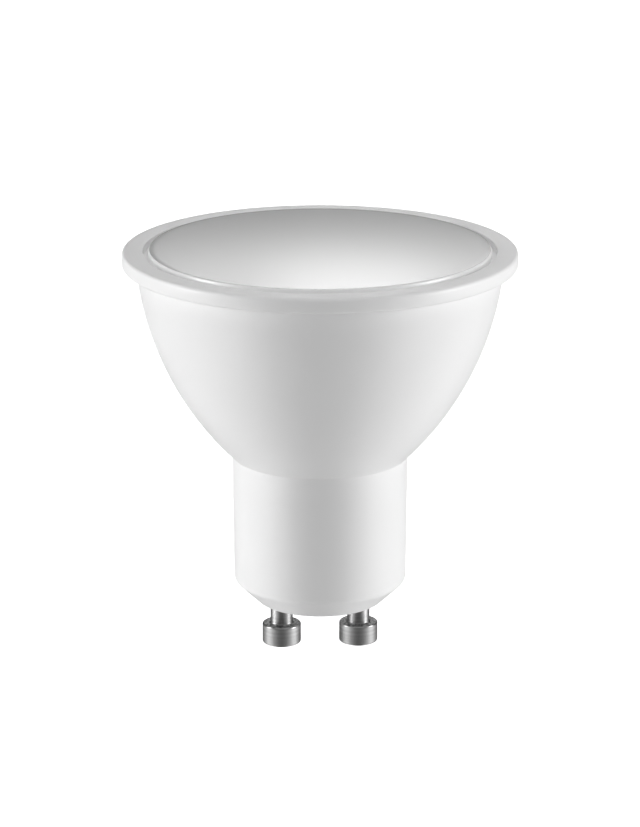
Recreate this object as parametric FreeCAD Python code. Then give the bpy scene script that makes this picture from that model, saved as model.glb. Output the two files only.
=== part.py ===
import FreeCAD, Part
import math
import os

# GU10 spotlight lamp with a moulded white housing, an opal front lens and two twist-lock pins.
# Sizes are in millimetres. The lamp stands on its pin heads: Z = 0 is the plane of the pin
# tips, +Z is the lamp's own axis, towards the lens, and the two pins stand along X.

# Rim: the broad flat ring round the lens
RIM_D = 50.0                 # across the rim, the size of the lamp's reflector class
RIM_BAND_H = 1.9             # height of the rim's side
RIM_STEP = 1.75              # how far the rim stands out from the bowl under it
RIM_TOP_ROUND = 0.45
RIM_UNDER_ROUND = 0.35
BEZEL_W = 2.7                # width of the flat ring between the rim's side and the lens recess
BEZEL_INNER_ROUND = 0.12

# Bowl and barrel of the housing
BOWL_H = 25.0                # from the crease at the waist to the underside of the rim
BOWL_ARC_R = 40.0            # radius of the arc that the bowl's wall follows
WAIST_D = 22.5               # across the crease between bowl and barrel
BARREL_H = 16.65             # from the top of the foot's bevel to the crease
BARREL_FOOT_D = 22.2         # a little under the waist: the mould's draft
FOOT_BEVEL_H = 2.75
FOOT_BEVEL_ROUND = 0.9       # softening where barrel and bevel meet
BASE_FACE_D = 16.4
BASE_FACE_ROUND = 0.3

# Lens and the recess it sits in
LENS_GAP = 0.6               # open groove between the lens and the bezel
LENS_PROUD = 0.3             # the lens's edge stands this far above the bezel
LENS_CROWN = 0.3             # the face rises this much more from its edge to its middle
LENS_EDGE_ROUND = 0.2
LENS_WALL_H = 0.5            # height of the upper part of the lens's wall, which leans in
LENS_WALL_LEAN = 0.12        # how far it leans in towards the face
RECESS_DEPTH = 0.8           # from the bezel down to the ledge that the lens rests on
LEDGE_W = 1.0                # how far the lens overhangs its spigot
SPIGOT_H = 1.2               # spigot under the lens that centres it
SPIGOT_CLEARANCE = 0.1       # all round the spigot
SPIGOT_FLOOR_GAP = 0.2       # under the spigot, so that the lens bears on the ledge alone

# Contact pins, turned in one piece each
PIN_SPACING = 10.0
PIN_HEAD_D = 5.0
PIN_HEAD_H = 2.65
PIN_HEAD_TIP_ROUND = 0.25
PIN_HEAD_TOP_ROUND = 0.2
PIN_FILLET = 0.25            # hollow rounding where the neck meets the head
PIN_NECK_D = 2.9
PIN_REACH = 6.25             # from the pin tips to the base face
PIN_SET_DEPTH = 6.0          # length of neck held in the base
PIN_END_BEVEL = 0.3
SOCKET_CLEARANCE = 0.02      # round the neck in its socket

# Levels along the axis
base_face_z = PIN_REACH
bevel_top_z = base_face_z + FOOT_BEVEL_H
crease_z = bevel_top_z + BARREL_H
rim_under_z = crease_z + BOWL_H
bezel_z = rim_under_z + RIM_BAND_H
ledge_z = bezel_z - RECESS_DEPTH
lens_edge_z = bezel_z + LENS_PROUD
lens_crown_z = lens_edge_z + LENS_CROWN
pin_end_z = base_face_z + PIN_SET_DEPTH

# Radii that follow from the sizes above
rim_r = RIM_D / 2
mouth_r = rim_r - RIM_STEP
recess_r = rim_r - BEZEL_W
lens_r = recess_r - LENS_GAP
spigot_r = lens_r - LEDGE_W


def point(r, z):
    """A point of an outline: r out from the axis, z up along it."""
    return FreeCAD.Vector(r, 0, z)


def run(*corners):
    """Edges of an open line through the corners (r, z) or (r, z, rounding)."""
    points = [point(c[0], c[1]) for c in corners]
    edges, start = [], points[0]
    for before, here, after, corner in zip(points, points[1:], points[2:], corners[1:]):
        rounding = corner[2] if len(corner) > 2 else 0
        if rounding:
            back = (before - here).normalize()
            on = (after - here).normalize()
            half_angle = back.getAngle(on) / 2
            reach = rounding / math.tan(half_angle)
            centre = here + (back + on).normalize() * (rounding / math.sin(half_angle))
            first, last = here + back * reach, here + on * reach
            middle = centre + (here - centre).normalize() * rounding
            edges.append(Part.LineSegment(start, first).toShape())
            edges.append(Part.Arc(first, middle, last).toShape())
            start = last
        else:
            edges.append(Part.LineSegment(start, here).toShape())
            start = here
    edges.append(Part.LineSegment(start, points[-1]).toShape())
    return edges


def bulged(start, end, radius):
    """An arc of the given radius between two points (r, z), bulging to the right of the way along."""
    a, b = point(*start), point(*end)
    along = b - a
    half = along.Length / 2
    rise = radius - math.sqrt(radius ** 2 - half ** 2)
    right = FreeCAD.Vector(along.z, 0, -along.x).normalize()
    return Part.Arc(a, (a + b) / 2 + right * rise, b).toShape()


def turned(edges):
    """The solid that the closed outline sweeps round the Z axis."""
    wire = Part.Wire(Part.__sortEdges__(edges))
    return Part.Face(wire).revolve(point(0, 0), FreeCAD.Vector(0, 0, 1), 360)


def pin_places():
    """Name of each pin's side and the X of its axis."""
    return (("left", -PIN_SPACING / 2), ("right", PIN_SPACING / 2))


def make_housing():
    """White moulded body: base, barrel, bowl and rim in one, recessed for lens and pins."""
    socket_top = (0, ledge_z - SPIGOT_H - SPIGOT_FLOOR_GAP)
    foot = run(
        socket_top,
        (0, base_face_z),
        (BASE_FACE_D / 2, base_face_z, BASE_FACE_ROUND),
        (BARREL_FOOT_D / 2, bevel_top_z, FOOT_BEVEL_ROUND),
        (WAIST_D / 2, crease_z),
    )
    bowl = bulged((WAIST_D / 2, crease_z), (mouth_r, rim_under_z), BOWL_ARC_R)
    front = run(
        (mouth_r, rim_under_z),
        (rim_r, rim_under_z, RIM_UNDER_ROUND),
        (rim_r, bezel_z, RIM_TOP_ROUND),
        (recess_r, bezel_z, BEZEL_INNER_ROUND),
        (recess_r, ledge_z),
        (spigot_r + SPIGOT_CLEARANCE, ledge_z),
        (spigot_r + SPIGOT_CLEARANCE, socket_top[1]),
        socket_top,
    )
    body = turned(foot + [bowl] + front)
    for side, x in pin_places():
        socket = Part.makeCylinder(PIN_NECK_D / 2 + SOCKET_CLEARANCE, PIN_SET_DEPTH,
                                   FreeCAD.Vector(x, 0, base_face_z))
        body = body.cut(socket)
    return body


def make_lens():
    """Opal moulded lens: a slightly domed disc with a leaning wall and a centring spigot."""
    edge_r = lens_r - LENS_WALL_LEAN
    face_r = edge_r - LENS_EDGE_ROUND
    spigot_z = ledge_z - SPIGOT_H
    sides = run(
        (0, lens_crown_z),
        (0, spigot_z),
        (spigot_r, spigot_z),
        (spigot_r, ledge_z),
        (lens_r, ledge_z),
        (lens_r, lens_edge_z - LENS_WALL_H),
        (edge_r, lens_edge_z, LENS_EDGE_ROUND),
        (face_r, lens_edge_z),
    )
    dome_r = (face_r ** 2 + LENS_CROWN ** 2) / (2 * LENS_CROWN)
    dome = bulged((face_r, lens_edge_z), (0, lens_crown_z), dome_r)
    return turned(sides + [dome])


def make_pin(x):
    """Turned contact pin: head, fillet and neck, standing at the given X."""
    half = run(
        (0, pin_end_z),
        (0, 0),
        (PIN_HEAD_D / 2, 0, PIN_HEAD_TIP_ROUND),
        (PIN_HEAD_D / 2, PIN_HEAD_H, PIN_HEAD_TOP_ROUND),
        (PIN_NECK_D / 2, PIN_HEAD_H, PIN_FILLET),
        (PIN_NECK_D / 2, pin_end_z - PIN_END_BEVEL),
        (PIN_NECK_D / 2 - PIN_END_BEVEL, pin_end_z),
        (0, pin_end_z),
    )
    pin = turned(half)
    pin.translate(FreeCAD.Vector(x, 0, 0))
    return pin


def write_step(shape, node):
    """Saves one piece under its node's name."""
    os.makedirs("parts", exist_ok=True)
    shape.exportStep(os.path.join("parts", node + ".step"))


write_step(make_housing(), "housing")
write_step(make_lens(), "diffuser_lens")
for side, x in pin_places():
    write_step(make_pin(x), "contact_pin_" + side)
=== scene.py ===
import math

import bmesh
import bpy
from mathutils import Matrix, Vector


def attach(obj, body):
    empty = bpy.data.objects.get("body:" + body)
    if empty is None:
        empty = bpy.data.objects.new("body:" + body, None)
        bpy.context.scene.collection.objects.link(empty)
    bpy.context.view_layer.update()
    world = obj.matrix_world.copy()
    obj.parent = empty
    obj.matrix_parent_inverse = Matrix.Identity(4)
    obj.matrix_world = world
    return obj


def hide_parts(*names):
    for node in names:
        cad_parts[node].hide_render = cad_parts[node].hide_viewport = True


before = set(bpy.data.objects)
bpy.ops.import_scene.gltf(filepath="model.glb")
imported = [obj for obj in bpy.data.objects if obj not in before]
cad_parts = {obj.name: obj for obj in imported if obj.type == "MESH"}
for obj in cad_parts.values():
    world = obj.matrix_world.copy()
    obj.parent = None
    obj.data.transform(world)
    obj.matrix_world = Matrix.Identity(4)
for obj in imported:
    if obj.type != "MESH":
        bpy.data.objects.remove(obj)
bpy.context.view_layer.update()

# Camera: a long lens a little above the rim and 3 degrees to the left of the lamp's front, as the
# photograph was taken. Camera, floor and light are in metres, and the lamp is in millimetres.
camera_tilt = 16.6
camera_turn = 3
camera = bpy.data.objects.new("camera", bpy.data.cameras.new("camera"))
bpy.context.scene.collection.objects.link(camera)
camera.data.sensor_width = 36
camera.data.lens = 145.12
camera.location = (-0.0214, -0.4083, 0.1528)
camera.rotation_euler = (math.radians(90 - camera_tilt), 0, math.radians(-camera_turn))
bpy.context.scene.camera = camera
bpy.context.scene.view_settings.view_transform = "Standard"


# Floor: a matt white sheet that the lamp stands on, lit from below like a product table, so that it
# stays white right up to the pins. Its glow is only for the camera: what a white table throws back
# at the lamp comes from the low softboxes, which can be set one by one.
def linear(code):
    """An sRGB hex colour as linear red, green, blue and alpha."""
    parts = [int(code[i:i + 2], 16) / 255 for i in (1, 3, 5)]
    return [c / 12.92 if c <= 0.04045 else ((c + 0.055) / 1.055) ** 2.4 for c in parts] + [1.0]


def add_node(tree, kind, settings=None, values=None, links=None):
    """Adds a shader node with its settings, its sockets' values and the links into it."""
    node = tree.nodes.new(kind)
    for name, value in (settings or {}).items():
        setattr(node, name, value)
    for socket, value in (values or {}).items():
        node.inputs[socket].default_value = value
    for socket, source in (links or {}).items():
        tree.links.new(source, node.inputs[socket])
    return node


def new_material(name):
    """An empty node material, its node tree and its output's surface socket."""
    material = bpy.data.materials.new(name)
    material.use_nodes = True
    material.node_tree.nodes.clear()
    output = add_node(material.node_tree, "ShaderNodeOutputMaterial")
    return material, material.node_tree, output.inputs["Surface"]


# Matt white acrylic with lamps behind it: rough enough to show no reflection, and as bright as paper.
table, tree, surface = new_material("lit_white_table")
sheet = add_node(tree, "ShaderNodeBsdfPrincipled", values={
    "Base Color": linear("#f4f4f4"),
    "Roughness": 0.9,
    "Emission Color": linear("#ffffff"),
    "Emission Strength": 1.0,
})
tree.links.new(sheet.outputs["BSDF"], surface)
table.cycles.emission_sampling = "NONE"

floor_reach = 3
shape = bmesh.new()
bmesh.ops.create_grid(shape, x_segments=1, y_segments=1, size=floor_reach)
floor = bpy.data.objects.new("floor", bpy.data.meshes.new("floor"))
shape.to_mesh(floor.data)
shape.free()
floor.data.materials.append(table)
bpy.context.scene.collection.objects.link(floor)
floor.visible_diffuse = False
floor.visible_glossy = False
floor.visible_transmission = False
floor.visible_shadow = False

# Studio light: a strip softbox on each side draws the bright bands down bowl and barrel. The four
# low ones stand for the white table, and the lens reflects the panel and the small core behind the
# lamp. One more hangs overhead. The room is dim, and only the camera sees its white backdrop.
softbox_distance = 2.0
lamp_middle = Vector((0, 0, 0.03))
room_brightness = 0.08
backdrop_brightness = 1.0


def add_softbox(name, azimuth, elevation, width, height, brightness):
    """A panel that faces the lamp. Azimuth 0 is the camera's side, and brightness 1 is paper white."""
    around = math.radians(azimuth - camera_turn)
    up = math.radians(elevation)
    away = Vector((math.sin(around) * math.cos(up), -math.cos(around) * math.cos(up), math.sin(up)))
    panel = bpy.data.lights.new(name, "AREA")
    panel.shape = "RECTANGLE"
    panel.size = width
    panel.size_y = height
    panel.energy = brightness * math.pi * width * height
    softbox = bpy.data.objects.new(name, panel)
    softbox.location = lamp_middle + away * softbox_distance
    softbox.rotation_euler = away.to_track_quat("Z", "Y").to_euler()
    softbox.visible_camera = False
    bpy.context.scene.collection.objects.link(softbox)


add_softbox("strip_left", azimuth=-80, elevation=6, width=0.7, height=1.0, brightness=14.0)
add_softbox("strip_right", azimuth=80, elevation=6, width=0.7, height=1.0, brightness=14.6)
add_softbox("low_left", azimuth=-100, elevation=-52, width=2.6, height=1.7, brightness=0.74)
add_softbox("low_right", azimuth=100, elevation=-52, width=2.6, height=1.7, brightness=0.88)
add_softbox("front_left_low", azimuth=-58, elevation=-28, width=1.4, height=1.3, brightness=1.2)
add_softbox("front_right_low", azimuth=58, elevation=-28, width=1.4, height=1.3, brightness=0.8)
add_softbox("lens_panel", azimuth=177, elevation=24, width=0.56, height=0.63, brightness=2.15)
add_softbox("lens_core", azimuth=179, elevation=20, width=0.14, height=0.21, brightness=2.2)
add_softbox("overhead", azimuth=0, elevation=90, width=2.5, height=2.5, brightness=0.79)

world = bpy.data.worlds.new("studio")
bpy.context.scene.world = world
world.use_nodes = True
tree = world.node_tree
tree.nodes.clear()
seen_by_camera = add_node(tree, "ShaderNodeLightPath").outputs["Is Camera Ray"]
room = add_node(tree, "ShaderNodeBackground", values={
    "Color": linear("#ffffff"),
    "Strength": room_brightness,
}).outputs["Background"]
backdrop = add_node(tree, "ShaderNodeBackground", values={
    "Color": linear("#ffffff"),
    "Strength": backdrop_brightness,
}).outputs["Background"]
studio = add_node(tree, "ShaderNodeMixShader", links={
    0: seen_by_camera,
    1: room,
    2: backdrop,
}).outputs["Shader"]
add_node(tree, "ShaderNodeOutputWorld", links={"Surface": studio})


# Housing: the lamp's white body, with base, barrel, bowl and rim moulded in polycarbonate in one
# shot. The other pieces are held in it: the lens in the rim's recess and the pins in the base face.
mm_per_m = 1000
merge_distance = 0.001 / mm_per_m
crisp_angle = math.radians(25)


def draw_outline(corners):
    """A bmesh with the line through corners (distance from the axis, height, rounding) in mm."""
    shape = bmesh.new()
    points = [Vector((corner[0], 0, corner[1])) / mm_per_m for corner in corners]
    verts = [shape.verts.new(point) for point in points]
    for first, second in zip(verts, verts[1:]):
        shape.edges.new((first, second))
    for i, corner in enumerate(corners):
        if len(corner) > 2:
            one_way = points[i - 1] - points[i]
            other_way = points[i + 1] - points[i]
            reach = corner[2] / mm_per_m / math.tan(one_way.angle(other_way) / 2)
            bmesh.ops.bevel(shape, geom=[verts[i]], offset=reach, offset_type="OFFSET", segments=6,
                            profile=0.5, affect="VERTICES", material=-1)
    return shape


def divide_long_edges(shape, longest):
    """Cuts the edges into pieces under this many mm, which keeps smooth shading true near a rounding."""
    for edge in list(shape.edges):
        cuts = int(edge.calc_length() * mm_per_m / longest)
        if cuts:
            bmesh.ops.subdivide_edges(shape, edges=[edge], cuts=cuts)


def spin_outline(shape, name, material, steps, x=0.0):
    """Spins the outline round the upright line at x, in metres, and makes it an object."""
    bmesh.ops.spin(shape, geom=shape.verts[:] + shape.edges[:], cent=(0, 0, 0), axis=(0, 0, 1),
                   angle=math.tau, steps=steps, use_merge=True)
    bmesh.ops.remove_doubles(shape, verts=shape.verts, dist=merge_distance)
    bmesh.ops.recalc_face_normals(shape, faces=shape.faces)
    bmesh.ops.translate(shape, verts=shape.verts, vec=(x, 0, 0))
    for face in shape.faces:
        face.smooth = True
    for edge in shape.edges:
        if edge.is_manifold and edge.calc_face_angle() > crisp_angle:
            edge.smooth = False
    piece = bpy.data.objects.new(name, bpy.data.meshes.new(name))
    shape.to_mesh(piece.data)
    shape.free()
    piece.data.materials.append(material)
    bpy.context.scene.collection.objects.link(piece)
    return piece


# Heights, which end in z, are above the pin tips. Radii, which end in r, are from the lamp's axis.
base_face_z = 6.25
foot_bevel_h = 2.75
barrel_h = 16.65
bowl_h = 25.0
bowl_arc_r = 40.0
bowl_arc_cuts = 31
rim_side_h = 1.9
base_face_r = 8.2
barrel_foot_r = 11.1
waist_r = 11.25
rim_r = 25.0
rim_step = 1.75
bezel_w = 2.7
recess_depth = 0.8
spigot_hole_r = 20.8
spigot_hole_depth = 1.4
foot_bevel_z = base_face_z + foot_bevel_h
crease_z = foot_bevel_z + barrel_h
rim_under_z = crease_z + bowl_h
bezel_z = rim_under_z + rim_side_h
ledge_z = bezel_z - recess_depth
recess_r = rim_r - bezel_w

# White polycarbonate out of a finely blasted mould: a satin skin, a little glossier in patches about
# 7 mm wide where the melt flowed. Light goes half a millimetre into the plastic, which softens the
# shadows. The mould's grain is about 0.05 mm across, and is drawn 0.25 mm across so that it shows.
flow_patches_per_mm = 0.15
mould_grains_per_mm = 4.0
plastic, tree, surface = new_material("satin_white_polycarbonate")
place = add_node(tree, "ShaderNodeTexCoord").outputs["Object"]
grain = add_node(tree, "ShaderNodeTexNoise", values={
    "Scale": mould_grains_per_mm * mm_per_m,
    "Detail": 2.0,
    "Roughness": 0.5,
}, links={"Vector": place}).outputs["Fac"]
bump = add_node(tree, "ShaderNodeBump", values={
    "Strength": 0.15,
    "Distance": 0.02 / mm_per_m,
}, links={"Height": grain}).outputs["Normal"]
flow = add_node(tree, "ShaderNodeTexNoise", values={
    "Scale": flow_patches_per_mm * mm_per_m,
    "Detail": 1.0,
}, links={"Vector": place}).outputs["Fac"]
satin = add_node(tree, "ShaderNodeMapRange", values={
    "From Min": 0.3,
    "From Max": 0.7,
    "To Min": 0.38,
    "To Max": 0.46,
}, links={"Value": flow}).outputs["Result"]
body = add_node(tree, "ShaderNodeBsdfPrincipled", values={
    "Base Color": linear("#f8f8f8"),
    "IOR": 1.49,
    "Subsurface Weight": 0.4,
    "Subsurface Radius": (1.0, 1.0, 1.0),
    "Subsurface Scale": 0.5 / mm_per_m,
}, links={"Roughness": satin, "Normal": bump})
tree.links.new(body.outputs["BSDF"], surface)

housing_outline = draw_outline([
    (0, base_face_z),
    (base_face_r, base_face_z, 0.3),
    (barrel_foot_r, foot_bevel_z, 0.9),
    (waist_r, crease_z),
    (rim_r - rim_step, rim_under_z),
    (rim_r, rim_under_z, 0.35),
    (rim_r, bezel_z, 0.45),
    (recess_r, bezel_z, 0.12),
    (recess_r, ledge_z),
    (spigot_hole_r, ledge_z),
    (spigot_hole_r, ledge_z - spigot_hole_depth),
    (0, ledge_z - spigot_hole_depth),
])
# The bowl's wall, the outline's longest line, becomes an arc that bulges outwards.
bowl = max(housing_outline.edges, key=lambda edge: edge.calc_length())
waist, mouth = sorted((vert.co.copy() for vert in bowl.verts), key=lambda point: point.z)
cut = bmesh.ops.subdivide_edges(housing_outline, edges=[bowl], cuts=bowl_arc_cuts)
along = (mouth - waist).normalized()
outward = Vector((along.z, 0, -along.x))
half = (mouth - waist).length / 2
arc_r = bowl_arc_r / mm_per_m
centre = (waist + mouth) / 2 - outward * math.sqrt(arc_r ** 2 - half ** 2)
for vert in cut["geom_inner"]:
    if isinstance(vert, bmesh.types.BMVert):
        vert.co = centre + (vert.co - centre).normalized() * arc_r
divide_long_edges(housing_outline, longest=1.0)
housing = spin_outline(housing_outline, "moulded_housing", plastic, steps=256)
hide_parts("housing")
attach(housing, "root")

# Lens: a round opal moulding with a polished, slightly crowned face, which spreads the light of the
# diodes behind it. It snaps into the rim's recess: a spigot under it centres it, its edge bears on
# the recess's ledge, and a narrow groove stays open round it.
groove_w = 0.6
ledge_w = 1.0
spigot_h = 1.2
edge_proud = 0.27
crown_h = 0.33
crown_r = 21.4
wall_h = 0.5
wall_lean = 0.12
lens_r = recess_r - groove_w
spigot_r = lens_r - ledge_w
face_z = bezel_z + edge_proud

# Opal polycarbonate, which is clear resin full of white powder, out of a polished mould. Light sinks
# in and spreads, so the face looks like milk glass with soft reflections. The thick edge is painted
# lighter and given a faint glow, painted light that stands for light entering the face and leaving at
# the edge. The faint waviness of the face is drawn 0.4 mm across, coarser than the real one, so that it
# shows.
waves_per_mm = 2.5
opal, tree, surface = new_material("opal_polycarbonate")
place = add_node(tree, "ShaderNodeTexCoord").outputs["Object"]
flat = add_node(tree, "ShaderNodeVectorMath", {"operation": "MULTIPLY"}, {1: (1, 1, 0)},
                {0: place}).outputs["Vector"]
from_axis = add_node(tree, "ShaderNodeVectorMath", {"operation": "LENGTH"},
                     links={0: flat}).outputs["Value"]
thick = add_node(tree, "ShaderNodeMapRange", {"interpolation_type": "SMOOTHSTEP"}, {
    "From Min": (lens_r - 0.26) / mm_per_m,
    "From Max": (lens_r - 0.13) / mm_per_m,
}, {"Value": from_axis}).outputs["Result"]
# Painted light: the thick edge is painted lighter than the face, for light that leaves there.
colour = add_node(tree, "ShaderNodeMix", {"data_type": "RGBA"}, {
    "A": linear("#cccccc"),
    "B": linear("#d8d8d8"),
}, {"Factor": thick}).outputs["Result"]
polish = add_node(tree, "ShaderNodeMapRange", values={
    "To Min": 0.2,
    "To Max": 0.3,
}, links={"Value": thick}).outputs["Result"]
# Painted glow: the thick edge gives off a little light of its own, though the lamp is off.
painted_edge_glow = add_node(tree, "ShaderNodeMapRange", values={
    "To Min": 0.0,
    "To Max": 0.2,
}, links={"Value": thick}).outputs["Result"]
waves = add_node(tree, "ShaderNodeTexNoise", values={
    "Scale": waves_per_mm * mm_per_m,
    "Detail": 2.0,
}, links={"Vector": place}).outputs["Fac"]
bump = add_node(tree, "ShaderNodeBump", values={
    "Strength": 0.1,
    "Distance": 0.01 / mm_per_m,
}, links={"Height": waves}).outputs["Normal"]
milk = add_node(tree, "ShaderNodeBsdfPrincipled", values={
    "Emission Color": linear("#ffffff"),
    "IOR": 1.58,
    "Subsurface Weight": 0.6,
    "Subsurface Radius": (1.0, 1.0, 1.0),
    "Subsurface Scale": 0.5 / mm_per_m,
}, links={"Base Color": colour, "Roughness": polish, "Emission Strength": painted_edge_glow, "Normal": bump})
tree.links.new(milk.outputs["BSDF"], surface)

lens_outline = draw_outline([
    (0, ledge_z - spigot_h),
    (spigot_r, ledge_z - spigot_h, 0.15),
    (spigot_r, ledge_z),
    (lens_r, ledge_z),
    (lens_r, face_z - wall_h),
    (lens_r - wall_lean, face_z, 0.2),
    (0, face_z),
])
divide_long_edges(lens_outline, longest=0.7)
for vert in lens_outline.verts:
    if vert.co.z > (face_z - 0.01) / mm_per_m:
        share = vert.co.x * mm_per_m / crown_r
        vert.co.z += crown_h / mm_per_m * (1 - share ** 2)
lens = spin_outline(lens_outline, "opal_lens", opal, steps=256)
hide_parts("diffuser_lens")
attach(lens, "root")

# Pins: each is turned from brass bar in one piece, head, fillet and neck, then nickel plated
# and pressed into the base. The heads lock the lamp in its holder and carry the mains.
pin_spacing = 10.0
head_r = 2.5
head_h = 2.65
neck_r = 1.45
set_depth = 6.0
end_bevel = 0.3
pin_end_z = base_face_z + set_depth
wall_middle_z = 1.35
wall_reach = 1.13
edge_blend = 0.05
marks_per_mm = 3.3
spots_per_mm = 2.8
for side, x in (("left", -pin_spacing / 2 / mm_per_m), ("right", pin_spacing / 2 / mm_per_m)):
    # Dull nickel over turning marks: the rings stretch each highlight up and down the wall. The real
    # marks are about 0.05 mm apart, drawn 0.3 mm apart so that they show. The head's wall is the
    # roughest; its two edges are smoother and painted lighter, a painted highlight. The flat face behind
    # the upper edge is dull, painted dark as a painted reflection of the lamp's shaded underside, and
    # spotted. The spots are drawn 0.35 mm across, coarser than real ones.
    nickel, tree, surface = new_material("turned_nickel_plate_" + side)
    place = add_node(tree, "ShaderNodeTexCoord").outputs["Object"]
    centred = add_node(tree, "ShaderNodeMapping", values={"Location": (-x, 0, 0)},
                       links={"Vector": place}).outputs["Vector"]
    around = add_node(tree, "ShaderNodeVectorMath", {"operation": "CROSS_PRODUCT"}, {0: (0, 0, 1)},
                      {1: centred}).outputs["Vector"]
    radius = add_node(tree, "ShaderNodeVectorMath", {"operation": "LENGTH"},
                      links={0: around}).outputs["Value"]
    height = add_node(tree, "ShaderNodeSeparateXYZ", links={0: centred}).outputs["Z"]
    along = add_node(tree, "ShaderNodeMath", {"operation": "ADD"},
                     links={0: radius, 1: height}).outputs["Value"]
    rings = add_node(tree, "ShaderNodeTexNoise", {"noise_dimensions": "1D"}, {
        "Scale": marks_per_mm * mm_per_m,
        "Detail": 1.0,
        "Roughness": 0.5,
    }, {"W": along}).outputs["Fac"]
    spots = add_node(tree, "ShaderNodeTexNoise", values={
        "Scale": spots_per_mm * mm_per_m,
        "Detail": 2.0,
        "Roughness": 0.6,
    }, links={"Vector": place}).outputs["Fac"]
    # Where the finish and the painted light change: at_edge is 1 on both edges of the head's wall,
    # above_edge from the head's flat face upwards, and on_neck from the fillet upwards.
    up_or_down = add_node(tree, "ShaderNodeMath", {"operation": "SUBTRACT"},
                          {1: wall_middle_z / mm_per_m}, {0: height}).outputs["Value"]
    off_middle = add_node(tree, "ShaderNodeMath", {"operation": "ABSOLUTE"},
                          links={0: up_or_down}).outputs["Value"]
    at_edge = add_node(tree, "ShaderNodeMapRange", {"interpolation_type": "SMOOTHSTEP"}, {
        "From Min": wall_reach / mm_per_m,
        "From Max": (wall_reach + edge_blend) / mm_per_m,
    }, {"Value": off_middle}).outputs["Result"]
    above_edge = add_node(tree, "ShaderNodeMapRange", {"interpolation_type": "SMOOTHSTEP"}, {
        "From Min": (head_h - edge_blend) / mm_per_m,
        "From Max": (head_h - 0.005) / mm_per_m,
    }, {"Value": height}).outputs["Result"]
    on_neck = add_node(tree, "ShaderNodeMapRange", {"interpolation_type": "SMOOTHSTEP"}, {
        "From Min": (head_h + 0.01) / mm_per_m,
        "From Max": (head_h + 0.2) / mm_per_m,
    }, {"Value": height}).outputs["Result"]
    wall_grey = add_node(tree, "ShaderNodeMapRange", values={
        "From Min": 0.3,
        "From Max": 0.7,
        "To Min": 0.7,
        "To Max": 0.85,
    }, links={"Value": rings}).outputs["Result"]
    # Painted highlight: both edges of the head's wall are painted lighter.
    painted_highlight_grey = add_node(tree, "ShaderNodeMix", {"data_type": "FLOAT"}, {"B": 1.0},
                         {"Factor": at_edge, "A": wall_grey}).outputs["Result"]
    # Painted shade: the head's flat face is painted dark, a painted reflection of the lamp's shaded
    # underside above it; the spots vary it at random.
    painted_dark_face_grey = add_node(tree, "ShaderNodeMapRange", values={
        "From Min": 0.42,
        "From Max": 0.58,
        "To Min": 0.1,
        "To Max": 0.65,
    }, links={"Value": spots}).outputs["Result"]
    upper_grey = add_node(tree, "ShaderNodeMix", {"data_type": "FLOAT"},
                          links={"Factor": on_neck, "A": painted_dark_face_grey, "B": wall_grey}).outputs["Result"]
    grey = add_node(tree, "ShaderNodeMix", {"data_type": "FLOAT"},
                    links={"Factor": above_edge, "A": painted_highlight_grey, "B": upper_grey}).outputs["Result"]
    colour = add_node(tree, "ShaderNodeMix", {"data_type": "RGBA"}, {
        "A": linear("#5a5a5a"),
        "B": linear("#c0c0c0"),
    }, {"Factor": grey}).outputs["Result"]
    edge_polish = add_node(tree, "ShaderNodeMapRange", values={
        "To Min": 0.66,
        "To Max": 0.3,
    }, links={"Value": at_edge}).outputs["Result"]
    polish = add_node(tree, "ShaderNodeMix", {"data_type": "FLOAT"}, {"B": 0.5},
                      {"Factor": above_edge, "A": edge_polish}).outputs["Result"]
    bump = add_node(tree, "ShaderNodeBump", values={
        "Strength": 0.3,
        "Distance": 0.01 / mm_per_m,
    }, links={"Height": rings}).outputs["Normal"]
    metal = add_node(tree, "ShaderNodeBsdfPrincipled", values={
        "Metallic": 1.0,
        "Anisotropic": 0.62,
        "Anisotropic Rotation": 0.25,
    }, links={"Base Color": colour, "Roughness": polish, "Tangent": around, "Normal": bump})
    tree.links.new(metal.outputs["BSDF"], surface)

    pin_outline = draw_outline([
        (0, 0),
        (head_r, 0, 0.25),
        (head_r, head_h, 0.2),
        (neck_r, head_h, 0.25),
        (neck_r, pin_end_z - end_bevel),
        (neck_r - end_bevel, pin_end_z),
        (0, pin_end_z),
    ])
    divide_long_edges(pin_outline, longest=0.4)
    pin = spin_outline(pin_outline, "contact_pin_turned_" + side, nickel, steps=128, x=x)
    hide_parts("contact_pin_" + side)
    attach(pin, "root")
